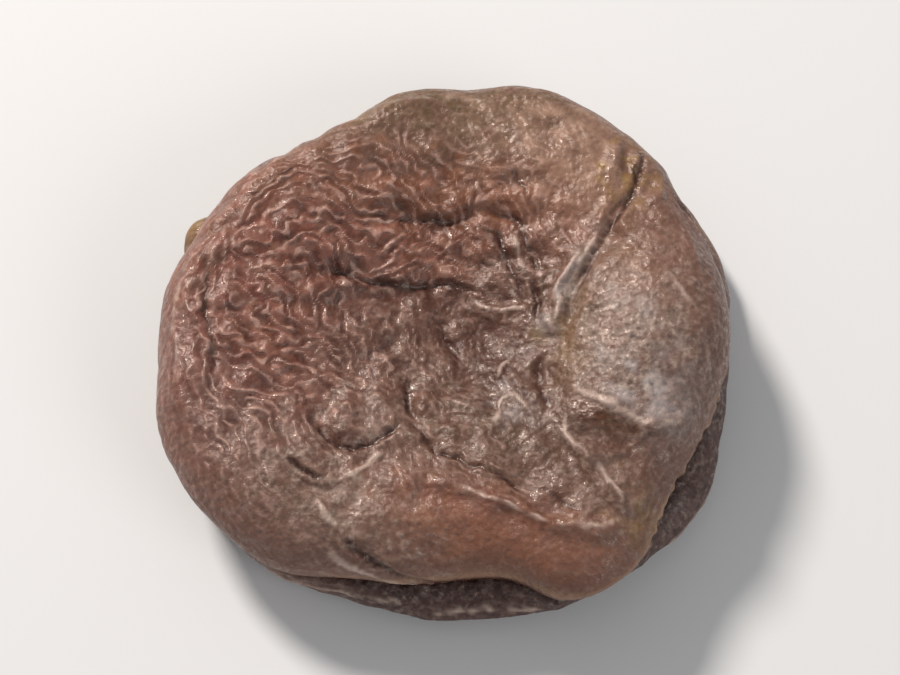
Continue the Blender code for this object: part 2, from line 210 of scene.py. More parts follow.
smooth_fruit = np.stack([radius * np.cos(angle), radius * np.sin(angle) * BREADTH, height], axis=1)
move_points(grid, smooth_fruit)
square_out = read_vectors(grid.vertex_normals, "vector")
print("the smooth fruit measures", np.round(np.ptp(smooth_fruit, axis=0), 1), "mm before scaling")

# %% [markdown]
# ## Where a point lies on the skin
# Wrinkles run over the rim without a break, as they do on the real fruit. So every point gets a place
# on the skin as if each half's skin were peeled off and laid flat: straight across the face, and then
# on over the rim by the length of its curve.

# %% Lay each half's skin flat
rounded = (roll + np.where(turn > 0, thickness, split)) / 2 * (quarter - np.abs(turn))
skin_radius = out * (reach - roll) + np.where(on_rim, rounded, 0.0)
x, y = skin_radius * np.cos(angle), skin_radius * np.sin(angle)
print("the skin reaches", round(skin_radius.max(), 1), "mm from the middle")

# %% [markdown]
# ## Humps and folds
# The large features come first: the smooth lobe beside the seam, the bed where the stone lay, the
# creases that the press folded into the skin. Sculpting by hand would work, but each feature as a line
# of numbers can be read, moved and kept. A hump is an oval, and a fold is a line of a few points.

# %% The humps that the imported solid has: x, y, half-length, half-width, turn, rise
UPPER_HUMPS = (
    (14.8, -1.0, 8.2, 5.0, 82, 1.5),  # smooth lobe on the right of the seam
    (13.2, -10.0, 3.4, 1.6, -35, -0.8),  # hollow in front of that lobe
    (1.6, -0.2, 5.0, 3.8, -30, -0.8),  # bed of the stone
    (-6.7, -7.4, 2.9, 2.2, 10, 0.55),  # small pillow held between two creases
    (-13.5, 6.0, 9.0, 5.0, 60, 0.6),  # left shoulder
    (3.0, 14.5, 9.0, 3.6, 5, 0.4),  # shoulder at the back
    (-15.0, -9.0, 6.0, 3.2, -50, 0.4),  # shoulder at the front left
    (5.0, -8.5, 4.0, 2.6, 20, 0.4),  # cushion in front of the stone's bed
)
LOWER_HUMPS = (
    (-8.0, 11.0, 6.0, 3.0, 30, -0.5),
    (-22.5, 12.0, 2.2, 1.6, 62, 0.7),
    (12.0, 7.0, 5.0, 3.4, -60, -0.6),
    (-12.0, -8.0, 5.0, 2.6, -50, -0.5),
    (8.0, -12.5, 6.5, 2.4, 20, -0.6),
)

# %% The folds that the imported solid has: rise, half-width, points
UPPER_FOLDS = (
    (-0.8, 0.7, ((15.9, 16.6), (15.4, 13.6), (14.0, 10.2), (12.4, 7.5), (10.9, 4.4), (8.6, -0.2))),  # seam
    (0.4, 0.8, ((9.6, -5.8), (12.2, -7.4), (14.8, -8.8), (17.8, -8.6))),  # front edge of the lobe
    (0.35, 0.7, ((11.3, 7.2), (10.0, 5.0), (9.0, 2.7), (8.2, 0.7))),  # bank of the seam
    (-0.6, 1.3, ((7.4, 0.0), (7.0, -3.5), (7.8, -7.1), (9.2, -11.6))),  # foot of the lobe
    (0.75, 0.75, ((-1.9, -12.8), (1.5, -14.0), (4.5, -15.4), (8.1, -16.6), (11.2, -16.7), (12.8, -15.5))),
    (0.6, 0.65, ((9.0, -7.8), (9.3, -9.8), (10.6, -11.4), (12.1, -13.4), (13.2, -15.4))),
    (-0.6, 0.6, ((-3.1, -3.9), (-3.2, -5.8), (-3.0, -7.8))),
    (-0.6, 0.6, ((-3.6, -8.4), (-5.4, -9.7), (-7.4, -10.3), (-8.9, -9.6), (-9.9, -8.2), (-10.3, -6.4))),
    (-0.5, 0.6, ((-12.1, -11.2), (-10.7, -12.7), (-9.0, -13.5))),
    (0.4, 0.6, ((-9.8, -14.7), (-9.2, -16.1), (-8.2, -17.3))),
    (-0.4, 0.65, ((-2.9, -7.8), (-0.7, -10.4), (1.8, -11.7), (4.1, -12.7), (5.8, -14.0))),
    (-0.65, 0.7, ((-11.3, 5.6), (-8.4, 4.8), (-4.8, 4.0), (-1.2, 4.0), (2.4, 3.7))),
    (-0.4, 0.9, ((-5.8, 9.4), (-1.8, 9.3), (2.4, 10.0), (6.3, 8.8))),
    (0.4, 0.6, ((1.4, 3.2), (3.4, 1.9), (5.0, 1.7), (6.8, 2.2))),
    (0.35, 0.65, ((-2.1, 2.2), (-1.0, -1.4), (0.4, -3.5))),
    (-0.2, 0.9, ((-7.0, 17.2), (-1.0, 18.4), (5.6, 17.6))),
    (-0.15, 0.9, ((-4.0, 20.4), (2.0, 21.2), (8.6, 19.8))),
    (-0.35, 0.8, ((-18.4, 4.4), (-17.8, -0.6), (-16.8, -5.4))),
    (-0.25, 0.8, ((-21.4, 6.2), (-21.0, 0.4), (-20.0, -4.8))),
)
LOWER_FOLDS = (
    (-0.7, 1.0, ((6.4, 4.0), (9.6, 5.0), (12.6, 8.4), (17.0, 9.6))),
    (-0.7, 0.8, ((-3.0, 9.6), (-8.6, 10.2), (-12.6, 13.0))),
    (-0.8, 0.9, ((-7.6, -4.6), (-11.0, -3.0), (-14.0, 1.4), (-14.6, 6.0))),
    (-0.7, 0.8, ((1.0, -9.6), (4.6, -12.0), (9.6, -12.6), (13.4, -9.0))),
    (0.6, 0.8, ((9.0, -4.0), (13.0, -4.6), (16.6, -1.6))),
    (-0.5, 0.7, ((-4.0, -19.6), (2.0, -20.6), (8.0, -20.0))),
    (-0.5, 0.7, ((-11.0, -15.6), (-15.0, -12.6), (-17.6, -8.6))),
    (0.5, 0.7, ((2.0, 13.0), (7.0, 14.6), (10.6, 13.0))),
)
FOLD_FADE = 1.8  # mm over which a fold fades at its ends
FADE_EARLY = 0.3  # share of that by which it begins before its first point
BANK_HEIGHT, BANK_PLACE = 0.35, 2.1  # as shares of a crease's depth and half-width


# %% Raise a ridge or press a crease along a line
def fold_height(x, y, folds, fade_length=FOLD_FADE):
    """The height that the folds add. A crease has raised banks, and a ridge has none."""
    height = np.zeros_like(x)
    for rise, half_width, points in folds:
        nearest = np.full_like(x, np.inf)
        place = np.zeros_like(x)
        run = 0.0
        for (x0, y0), (x1, y1) in zip(points, points[1:]):
            length = math.hypot(x1 - x0, y1 - y0)
            step_x, step_y = (x1 - x0) / length, (y1 - y0) / length
            along = np.clip((x - x0) * step_x + (y - y0) * step_y, 0, length)
            distance = np.hypot(x - x0 - along * step_x, y - y0 - along * step_y)
            place = np.where(distance < nearest, run + along, place)
            nearest = np.minimum(distance, nearest)
            run += length
        fade = ease(-FADE_EARLY * fade_length, fade_length, np.minimum(place, run - place))
        widths = nearest / half_width
        shape = np.exp(-(widths**2))
        if rise < 0:
            shape -= BANK_HEIGHT * np.exp(-((widths - BANK_PLACE) ** 2))
        height += rise * fade * shape
    return height


# %% [markdown]
# ## Skin that buckles
# Drying skin wrinkles because it is too large for the flesh under it. Plain noise looks like clouds
# and not like wrinkles. The Swift-Hohenberg equation describes what really happens: from small random
# bumps, ridges of one spacing grow and join, and a short run leaves them as broken and tangled as
# real ones. It runs on a square grid with Fourier transforms, in a second or two.

# %% Grow wrinkles on a square of skin
SKIN_SIDE = 80.0  # mm
GRAIN = math.radians(-40)  # the way that most wrinkles run
GRAIN_SIZE, GRAIN_TURN = 18.0, 0.5  # how it drifts from place to place
BUCKLE_STEPS, BUCKLE_STEP, BUCKLE_GROWTH = 24, 0.35, 0.6
BUCKLE_LINING = 0.06  # how strongly the wrinkles keep to the grain
START_NOISE = 0.3
BAND_WIDTH = 0.4  # how much the sizes of drifting hills differ
RIM_LINED, RIM_LINED_FROM, RIM_LINED_AT = 0.85, 15.0, 20.0  # where fine wrinkles turn to the rim
RIM_LINING = 2.5  # how much more strongly they keep to it


class Skin:
    """A square of drying skin with random numbers of its own. Its maps repeat from edge to edge."""

    def __init__(self, seed, cells):
        self.cells, self.cell = cells, SKIN_SIDE / cells
        self.random = np.random.default_rng(seed)
        self.wave_x = 2 * math.pi * np.fft.fftfreq(cells, self.cell)[:, None]
        self.wave_y = 2 * math.pi * np.fft.rfftfreq(cells, self.cell)[None, :]

    def noise(self, spread):
        return self.random.normal(0, spread, (self.cells, self.cells))

    def back(self, spectrum):
        return np.fft.irfft2(spectrum, (self.cells, self.cells))

    def drift(self, size):
        """Smooth random hills about one size across, with a spread of 1."""
        wave = np.hypot(self.wave_x, self.wave_y) * size / (2 * math.pi)
        wave[0, 0] = np.inf
        band = np.exp(-0.5 * (np.log(wave) / BAND_WIDTH) ** 2)
        hills = self.back(np.fft.rfft2(self.noise(1)) * band)
        return hills / hills.std()

    def round_the_rim(self, grain, lining):
        """Turns the grain to run along the rim there, and lines the wrinkles up more strongly."""
        side = np.fft.fftfreq(self.cells) * SKIN_SIDE
        near_rim = RIM_LINED * ease(RIM_LINED_FROM, RIM_LINED_AT, np.hypot(side[:, None], side))
        along_rim = 2 * (np.arctan2(side, side[:, None]) + math.pi / 2)
        across = np.sin(2 * grain) * (1 - near_rim) + np.sin(along_rim) * near_rim
        along = np.cos(2 * grain) * (1 - near_rim) + np.cos(along_rim) * near_rim
        return np.arctan2(across, along) / 2, lining * (1 + RIM_LINING * near_rim)

    def buckle(self, spacing, lining=BUCKLE_LINING, drawn_round_rim=False):
        """Wrinkles one spacing apart, grown from noise by the Swift-Hohenberg equation."""
        wave_x = self.wave_x * spacing / (2 * math.pi)
        wave_y = self.wave_y * spacing / (2 * math.pi)
        damping = 1 + BUCKLE_STEP * ((1 - wave_x**2 - wave_y**2) ** 2 - BUCKLE_GROWTH)
        grain = GRAIN + GRAIN_TURN * self.drift(GRAIN_SIZE)
        if drawn_round_rim:
            grain, lining = self.round_the_rim(grain, lining)
        cosine, sine = np.cos(grain), np.sin(grain)
        height = self.noise(START_NOISE)
        for _ in range(BUCKLE_STEPS):
            spectrum = -np.fft.rfft2(height)
            lined = (
                cosine**2 * self.back(wave_x**2 * spectrum)
                + 2 * cosine * sine * self.back(wave_x * wave_y * spectrum)
                + sine**2 * self.back(wave_y**2 * spectrum)
            )
            pushed = height + BUCKLE_STEP * (lining * lined - height**3)
            height = self.back(np.fft.rfft2(pushed) / damping)
        return height / height.std()

    def at(self, heights, x, y):
        """The value of a map of the skin at points in millimetres, between its cells."""
        column, row = x / self.cell, y / self.cell
        i, j = np.floor(column).astype(int), np.floor(row).astype(int)
        a, b = column - i, row - j
        i, j, over, up = i % self.cells, j % self.cells, (i + 1) % self.cells, (j + 1) % self.cells
        low = heights[i, j] * (1 - a) + heights[over, j] * a
        high = heights[i, up] * (1 - a) + heights[over, up] * a
        return low * (1 - b) + high * b


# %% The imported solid's own relief, for both halves
SKIN_CELLS = 256
FOLD_SPACING, FOLD_HEIGHT = 3.4, 0.13
RIM_CALM, CREST_AT, EDGE_AT = 0.75, 18.0, 23.0  # the rim is drawn tight from the crest to the edge
DRAWN_SIZE, DRAWN = 7.0, 0.4  # the skin was drawn aside in drifts of this size, by this much
UPPER_SEED, LOWER_SEED = 5, 11
UPPER_CALM = (  # calm ovals: x, y, half-length, half-width, turn, share of the relief taken off
    (14.5, -1.0, 8.0, 6.0, 80, 0.8),
    (-12.0, -14.0, 8.0, 5.0, -45, 0.6),
    (6.0, -19.5, 10.0, 4.0, -12, 0.8),
    (4.0, 19.0, 11.0, 4.0, 0, 0.55),
    (11.0, 13.0, 4.0, 4.0, 0, 0.5),
)
LOWER_CALM = ((12.0, 12.0, 9.0, 7.0, 40, 0.5),)
SPLIT_CALM = 0.6  # mm from the split within which there is little relief
FILLED = 0.45  # share of a packed crease that the fine skin fills again, because it can be thin
LOWERED = 0.3  # share of a packed ridge that it takes off again


def main_rise(humps, folds, calm, seed):
    skin = Skin(seed, SKIN_CELLS)
    drawn_x = x + DRAWN * skin.at(skin.drift(DRAWN_SIZE), x, y)
    drawn_y = y + DRAWN * skin.at(skin.drift(DRAWN_SIZE), x, y)
    rough = FOLD_HEIGHT * (1 - RIM_CALM * ease(CREST_AT, EDGE_AT, skin_radius))
    for *oval, share in calm:
        rough *= 1 - share * patch(x, y, *oval)
    rise = fold_height(drawn_x, drawn_y, folds)
    filling = FILLED * np.maximum(-rise, 0) - LOWERED * np.maximum(rise, 0)
    rise += rough * skin.at(skin.buckle(FOLD_SPACING), drawn_x, drawn_y)
    for *oval, hump in humps:
        rise += hump * patch(x, y, *oval)
    return rise, filling


above, filling_above = main_rise(UPPER_HUMPS, UPPER_FOLDS, UPPER_CALM, UPPER_SEED)
below, filling_below = main_rise(LOWER_HUMPS, LOWER_FOLDS, LOWER_CALM, LOWER_SEED)
below *= ease(FLAT_SPOT - 1, FLAT_SPOT + 2, skin_radius)
settled = 1 - np.exp(-((from_split / SPLIT_CALM) ** 2))
main_relief = (above * upper + below * (1 - upper)) * settled
print("main relief from", round(main_relief.min(), 2), "to", round(main_relief.max(), 2), "mm")

# %% [markdown]
# ## Fine wrinkles, and where they are
# On the real fruit the left third and the back of the face are covered with fine, tangled ridges
# about 1 to 2 mm apart, the lobe beside the seam is nearly smooth, and the rim is drawn tight. So two
# finer skins are grown and are laid on by share: each patch says how much finely wrinkled skin it has.

# %% How finely each place is wrinkled
FINE_SHARE = 0.34  # share of fine wrinkles where no patch says more or less
MORE_WRINKLED = (  # x, y, half-length, half-width, turn, share
    (-16.0, -9.5, 6.5, 4.5, -55, 0.7),
    (-13.0, -1.0, 11.0, 8.0, 75, 0.8),
    (-4.0, 9.0, 10.0, 6.0, 10, 0.8),
    (5.0, 4.6, 4.0, 3.6, 30, 0.5),
    (-8.0, -4.0, 7.0, 4.0, 20, 0.5),
)
LESS_WRINKLED = (
    (9.6, -9.6, 5.0, 3.6, -30, 0.5),
    (-9.6, -13.0, 6.0, 2.4, -30, 0.5),
    (15.0, -0.5, 8.0, 6.0, 80, 0.94),
    (-8.0, -16.0, 8.0, 4.5, -30, 0.75),
    (6.0, -19.5, 11.0, 4.6, -12, 0.94),
    (3.0, 19.5, 11.0, 3.6, 0, 0.7),
    (12.0, 14.0, 4.0, 4.6, 0, 0.6),
    (15.4, 14.0, 2.4, 3.6, -20, 0.7),
    (-6.1, -7.3, 2.6, 1.8, 20, 0.5),
    (2.2, -1.2, 3.4, 2.2, -45, 0.8),
)
LOWER_FINE_SHARE = 0.4
RIM_TIGHT = 0.62  # share of the fine wrinkles that the tight rim pulls flat

fine_above = np.full_like(x, FINE_SHARE)
for *oval, share in MORE_WRINKLED:
    fine_above += (1 - fine_above) * share * patch(x, y, *oval)
for *oval, share in LESS_WRINKLED:
    fine_above *= 1 - share * patch(x, y, *oval)
fine_share = fine_above * upper + LOWER_FINE_SHARE * (1 - upper)
fine_share *= 1 - RIM_TIGHT * ease(CREST_AT + 1, EDGE_AT + 1, skin_radius)
print("fine wrinkles' share from", round(fine_share.min(), 2), "to", round(fine_share.max(), 2))

# %% Grow the fine skins
FINE_CELLS = 640
UPPER_FINE_SEED, LOWER_FINE_SEED = 31, 29
MIDDLE_SPACING, FINE_SPACING = 1.9, 0.9
MIDDLE_LINING, FINE_LINING = 0.2, 0.26
RIDGE_SHARPNESS = 1.25  # makes ridges narrower than the valleys between them
MIDDLE_POWER, FINE_POWER = 1.8, 2.5
FINE_DRAWN_SIZE, FINE_DRAWN, CRUMPLE_SIZE, CRUMPLED = 9.0, 0.4, 2.0, 0.16
STRENGTH = 0.8  # mean height of the fine wrinkles
STRENGTH_DRIFTS = ((6.0, 0.3), (1.8, 0.42))  # it varies in hills of these sizes, by these shares
WEAKEST, STRONGEST = 0.1, 1.6


def narrow_ridges(wrinkles, power):
    return (0.5 + 0.5 * np.tanh(RIDGE_SHARPNESS * wrinkles)) ** power


def fine_skin(seed):
    """Middle and fine waves at every point, how strong they are, and where the skin was drawn."""
    skin = Skin(seed, FINE_CELLS)
    drawn = [x, y]
    for axis in range(2):
        drawn[axis] = drawn[axis] + FINE_DRAWN * skin.at(skin.drift(FINE_DRAWN_SIZE), x, y)
        drawn[axis] = drawn[axis] + CRUMPLED * skin.at(skin.drift(CRUMPLE_SIZE), x, y)
    middle = skin.at(skin.buckle(MIDDLE_SPACING, MIDDLE_LINING, True), *drawn)
    fine = skin.at(skin.buckle(FINE_SPACING, FINE_LINING, True), *drawn)
    strength = STRENGTH
    for size, spread in STRENGTH_DRIFTS:
        strength = strength + spread * skin.at(skin.drift(size), x, y)
    return middle, fine, np.clip(strength, WEAKEST, STRONGEST), drawn


upper_middle, upper_fine, upper_strength, upper_drawn = fine_skin(UPPER_FINE_SEED)
lower_middle, lower_fine, lower_strength, _ = fine_skin(LOWER_FINE_SEED)
middle_wave = upper_middle * upper + lower_middle * (1 - upper)
fine_wave = upper_fine * upper + lower_fine * (1 - upper)
middle_ridge = narrow_ridges(middle_wave, MIDDLE_POWER)
fine_ridge = narrow_ridges(fine_wave, FINE_POWER)
strength = upper_strength * upper + lower_strength * (1 - upper)
print("ridges on average:", round(middle_ridge.mean(), 2), "middle and", round(fine_ridge.mean(), 2), "fine")

# %% [markdown]
# Some lines on the skin are too clear to be left to chance: pale ridges where a fold stands up dry,
# and dark creases where two folds meet. Later the ridges are painted paler, partly as dry skin and
# partly as a painted highlight, and the creases are darkened with painted shade. A picture of the lines
# could be projected on the fruit, but it would have no height. So they are drawn as the large folds
# are, only thinner. They waver a little, because they are laid on the skin after it was crumpled, and a
# ridge is lower in places.

# %% Thin ridges of the lower half and the upper one: rise, half-width, points
LOWER_RIDGES = (
    (0.12, 0.3, ((-16.4, -17.6), (-12.4, -20.6), (-8.4, -22.6), (-4.0, -24.0))),
    (0.12, 0.26, ((-10.6, -23.6), (-6.4, -25.0), (-2.0, -25.6))),
    (0.12, 0.3, ((-1.4, -23.4), (3.6, -24.0), (8.4, -23.2))),
    (0.14, 0.34, ((17.6, -17.0), (20.2, -13.4), (22.2, -9.0))),
    (0.1, 0.26, ((14.6, -17.6), (17.6, -13.8), (19.8, -9.6))),
)
PALE_RIDGES = (
    (0.1, 0.4, ((9.6, -5.8), (11.2, -6.7), (12.8, -7.7), (14.8, -8.8), (17.8, -8.6))),
    (0.1, 0.24, ((-1.9, -12.8), (1.5, -14.0), (2.9, -14.8), (4.5, -15.4), (6.3, -16.2), (8.1, -16.7))),
    (0.12, 0.24, ((8.1, -16.7), (9.7, -16.9), (11.2, -16.8), (12.4, -16.1), (12.8, -15.4))),
    (0.12, 0.24, ((9.0, -7.8), (9.1, -9.5), (10.2, -11.0), (11.4, -12.2), (12.1, -13.5), (13.0, -15.0))),
    (0.1, 0.22, ((8.4, -14.4), (10.0, -15.8))),
    (0.13, 0.22, ((3.4, -8.7), (3.7, -6.4), (4.8, -5.2))),
    (0.13, 0.24, ((4.8, -5.2), (6.0, -6.7), (6.4, -8.2))),
    (0.13, 0.22, ((3.4, -4.2), (4.1, -2.9), (4.9, -1.9))),
    (0.11, 0.22, ((4.4, -4.4), (5.3, -3.1))),
    (0.14, 0.2, ((12.0, 7.8), (11.0, 6.2), (10.0, 4.2), (9.1, 2.0), (8.3, 0.4))),
    (0.12, 0.18, ((10.8, 7.0), (9.8, 5.0), (8.8, 2.9), (8.1, 1.2), (7.1, 0.2))),
    (0.08, 0.3, ((-12.4, 18.4), (-9.4, 20.2), (-6.4, 21.2), (-4.0, 21.6))),
    (0.14, 0.22, ((4.8, 4.2), (5.6, 2.8))),
    (0.13, 0.22, ((1.4, 3.3), (2.4, 2.5), (3.4, 1.9), (4.8, 1.8), (6.7, 2.1))),
    (0.12, 0.22, ((3.2, 6.0), (3.0, 4.6), (2.0, 3.9))),
    (0.12, 0.22, ((4.9, 8.8), (5.6, 6.4), (6.6, 4.6))),
    (0.11, 0.22, ((5.6, 9.4), (6.6, 7.2), (7.3, 5.4))),
    (0.11, 0.22, ((3.9, 7.6), (4.6, 5.4))),
    (0.15, 0.24, ((-9.8, -14.9), (-9.3, -16.1), (-8.2, -17.2))),
    (0.16, 0.32, ((-9.4, -18.6), (-7.0, -20.6), (-3.8, -22.4), (-0.6, -23.6))),
    (0.12, 0.3, ((-9.0, -13.7), (-7.0, -12.5), (-4.8, -10.3))),
    (0.1, 0.26, ((16.9, 4.0), (17.9, 2.3), (19.0, 0.4), (19.5, -1.1))),
    (0.1, 0.28, ((-20.6, 5.0), (-21.6, -0.6), (-20.6, -6.4))),
    (0.07, 0.3, ((-6.0, 19.6), (0.0, 20.6), (5.4, 20.2))),
    (0.06, 0.3, ((-2.6, 17.4), (3.0, 17.8), (8.0, 16.6))),
)

# %% Thin dark creases of the upper half
DARK_CREASES = (
    (-0.26, 0.32, ((-8.2, -17.8), (-5.8, -19.8), (-2.6, -21.6), (0.8, -22.8))),
    (-0.2, 0.28, ((15.9, 16.4), (15.3, 13.2), (14.0, 10.2), (12.9, 8.5))),
    (-0.12, 0.22, ((13.4, 9.3), (12.9, 8.5), (11.9, 6.5), (10.9, 4.4), (9.8, 1.8))),
    (-0.22, 0.26, ((-9.2, 5.0), (-6.8, 4.3), (-4.6, 4.0), (-2.4, 3.9), (0.0, 4.1), (2.4, 3.7))),
    (-0.26, 0.24, ((-9.9, -8.3), (-8.9, -9.6), (-7.4, -10.3), (-5.8, -9.8), (-4.7, -9.2), (-3.3, -8.0))),
    (-0.26, 0.24, ((-3.1, -4.2), (-3.2, -5.8), (-3.0, -7.4))),
    (-0.26, 0.24, ((-12.1, -11.4), (-10.7, -12.7), (-9.2, -13.4))),
    (-0.18, 0.24, ((-2.9, -7.8), (-0.7, -10.4), (1.8, -11.6), (4.1, -12.7), (5.8, -14.0))),
    (-0.15, 0.22, ((7.0, -13.4), (8.6, -14.9), (10.0, -16.0))),
    (-0.2, 0.3, ((19.0, 11.8), (21.0, 9.4), (23.2, 6.8))),
    (-0.22, 0.24, ((3.9, 9.2), (4.5, 6.3), (6.1, 3.7))),
    (-0.22, 0.24, ((5.0, 10.3), (6.5, 7.1), (7.4, 4.7))),
    (-0.22, 0.26, ((6.9, 4.8), (7.3, 2.4), (7.2, 0.5))),
    (-0.15, 0.3, ((7.2, -2.0), (7.0, -4.4), (7.9, -7.2))),
    (-0.15, 0.24, ((-0.4, 1.6), (0.0, -0.4), (1.2, -2.2))),
    (-0.22, 0.24, ((3.1, 10.4), (4.6, 9.8), (6.1, 9.0))),
    (-0.18, 0.22, ((4.8, 14.2), (5.3, 13.6), (6.5, 11.6))),
    (-0.18, 0.24, ((-5.4, 9.0), (-3.7, 9.2), (-1.4, 9.5), (0.9, 9.4))),
    (-0.15, 0.26, ((-18.9, 5.0), (-18.6, 0.0), (-17.6, -5.0))),
    (-0.06, 0.3, ((-8.4, 18.0), (-2.0, 19.2), (4.4, 19.0))),
)

# %% Lay the thin lines on
LINE_FADE, LINE_WAVER = 0.9, 0.35
RIDGE_EVEN, RIDGE_VARIED = 0.45, 0.6  # a ridge's height: an even part, and one that goes with the wrinkles
RIDGE_LOWEST, RIDGE_HIGHEST = 0.4, 1.2
line_places = [flat + LINE_WAVER * (drawn - flat) for flat, drawn in zip((x, y), upper_drawn)]
pale_rise = fold_height(*line_places, PALE_RIDGES, LINE_FADE) * upper
pale_rise += fold_height(*line_places, LOWER_RIDGES, LINE_FADE) * (1 - upper)
pale_rise *= np.clip(RIDGE_EVEN + RIDGE_VARIED * strength, RIDGE_LOWEST, RIDGE_HIGHEST)
crease_rise = fold_height(*line_places, DARK_CREASES, LINE_FADE) * upper
print("thin lines from", round(crease_rise.min(), 2), "to", round(pale_rise.max(), 2), "mm")

# %% [markdown]
# The fruit was torn a little where its stone came out: the upper lip is ragged at the front right,
# and a nub of bare flesh stands out at the back left of the lower half. A ragged edge drawn by hand
# would be one way. Here the lip goes in and out with a noise that varies along it, only where it is
# torn, and the nub is one more hump.

# %% The torn lip and the nub of flesh
TORN_SEED = 37
TORN_FROM, TORN_TO, TORN_EASE = 308.0, 352.0, 6.0  # degrees round the fruit
TORN_DEPTH, TORN_SIZE, TORN_BAND = 0.3, 2.0, 2.2  # mm
NUB = (-22.8, 12.3, 2.6, 2.0, 60)
NUB_RISE = 0.6

torn_skin = Skin(TORN_SEED, SKIN_CELLS)
degrees = np.degrees(angle) % 360
torn = ease(TORN_FROM, TORN_FROM + TORN_EASE, degrees) * (1 - ease(TORN_TO - TORN_EASE, TORN_TO, degrees))
torn *= upper * np.exp(-((from_split / TORN_BAND) ** 2))
torn_rise = TORN_DEPTH * torn * torn_skin.at(torn_skin.drift(TORN_SIZE), x, y)

nub = (1 - upper) * patch(x, y, *NUB)
print("the torn lip goes in and out by up to", round(np.abs(torn_rise).max(), 2), "mm")

# %% All the fine relief together
MIDDLE_HEIGHT, FINE_HEIGHT = 0.06, 0.13
MIDDLE_LEVEL, FINE_LEVEL = 0.4, 0.3  # taken off the ridges, so that the fruit doesn't swell
CREASE_CALM, CREASE_CALM_AT = 0.8, 0.15  # in a crease this deep the skin is drawn smooth by this share
LYING_EASE = 3.0  # mm over which the wrinkles come back round the flat spot
LEFT_IN_SPLIT = 0.35  # share of the fine relief that is left in the split
fine_relief = filling_above * upper + filling_below * (1 - upper) + NUB_RISE * nub
wrinkling = fine_share * (1 - CREASE_CALM * ease(0.0, CREASE_CALM_AT, -crease_rise))
fine_relief += MIDDLE_HEIGHT * (middle_ridge - MIDDLE_LEVEL) * wrinkling
fine_relief += FINE_HEIGHT * (fine_ridge - FINE_LEVEL) * wrinkling * strength
lying = (1 - upper) * (1 - ease(FLAT_SPOT, FLAT_SPOT + LYING_EASE, skin_radius))
fine_relief *= (1 - lying) * (LEFT_IN_SPLIT + (1 - LEFT_IN_SPLIT) * settled)
fine_relief += pale_rise + crease_rise + torn_rise * settled
print("fine relief from", round(fine_relief.min(), 2), "to", round(fine_relief.max(), 2), "mm")

# %% [markdown]
# ## The finished mesh
# A Displace modifier could lay the relief on, but it would have to be drawn as a picture first. Here
# each point is moved square to the smooth fruit. The underside is pressed flat where it rests, and the
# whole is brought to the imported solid's length and middle. Then the mesh is compared with the solid,
# because the fine piece has to keep its form.

# %% Lay the relief on and fit the fruit to its packed box
SAMPLING = 37  # the distance to the solid is measured at one point in so many
box_low, box_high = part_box(FRUIT)
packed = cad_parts[FRUIT]


def fitted(places):
    places = places.copy()
    places[:, 2] = np.maximum(places[:, 2] - PRESSED, 0)
    base = smooth_fruit + square_out * main_relief[:, None]
    low, high = base.min(axis=0), base.max(axis=0)
    places[:, :2] -= (low[:2] + high[:2]) / 2
    places *= (box_high.x - box_low.x) / (high[0] - low[0])
    places[:, :2] += np.array([box_low.x + box_high.x, box_low.y + box_high.y]) / 2
    return places


finished = fitted(smooth_fruit + square_out * (main_relief + fine_relief)[:, None])
move_points(grid, finished)
grid.name = "dried_apricot"
grid.shade_smooth()
apricot = bpy.data.objects.new("dried_apricot", grid)
bpy.context.scene.collection.objects.link(apricot)
solid = BVHTree.FromPolygons(
    [v.co for v in packed.data.vertices], [p.vertices for p in packed.data.polygons]
)
away = [solid.find_nearest(Vector(place))[3] / MM for place in finished[::SAMPLING]]
print("mean distance from the packed solid:", round(np.mean(away), 3), "mm, most:", round(max(away), 2))
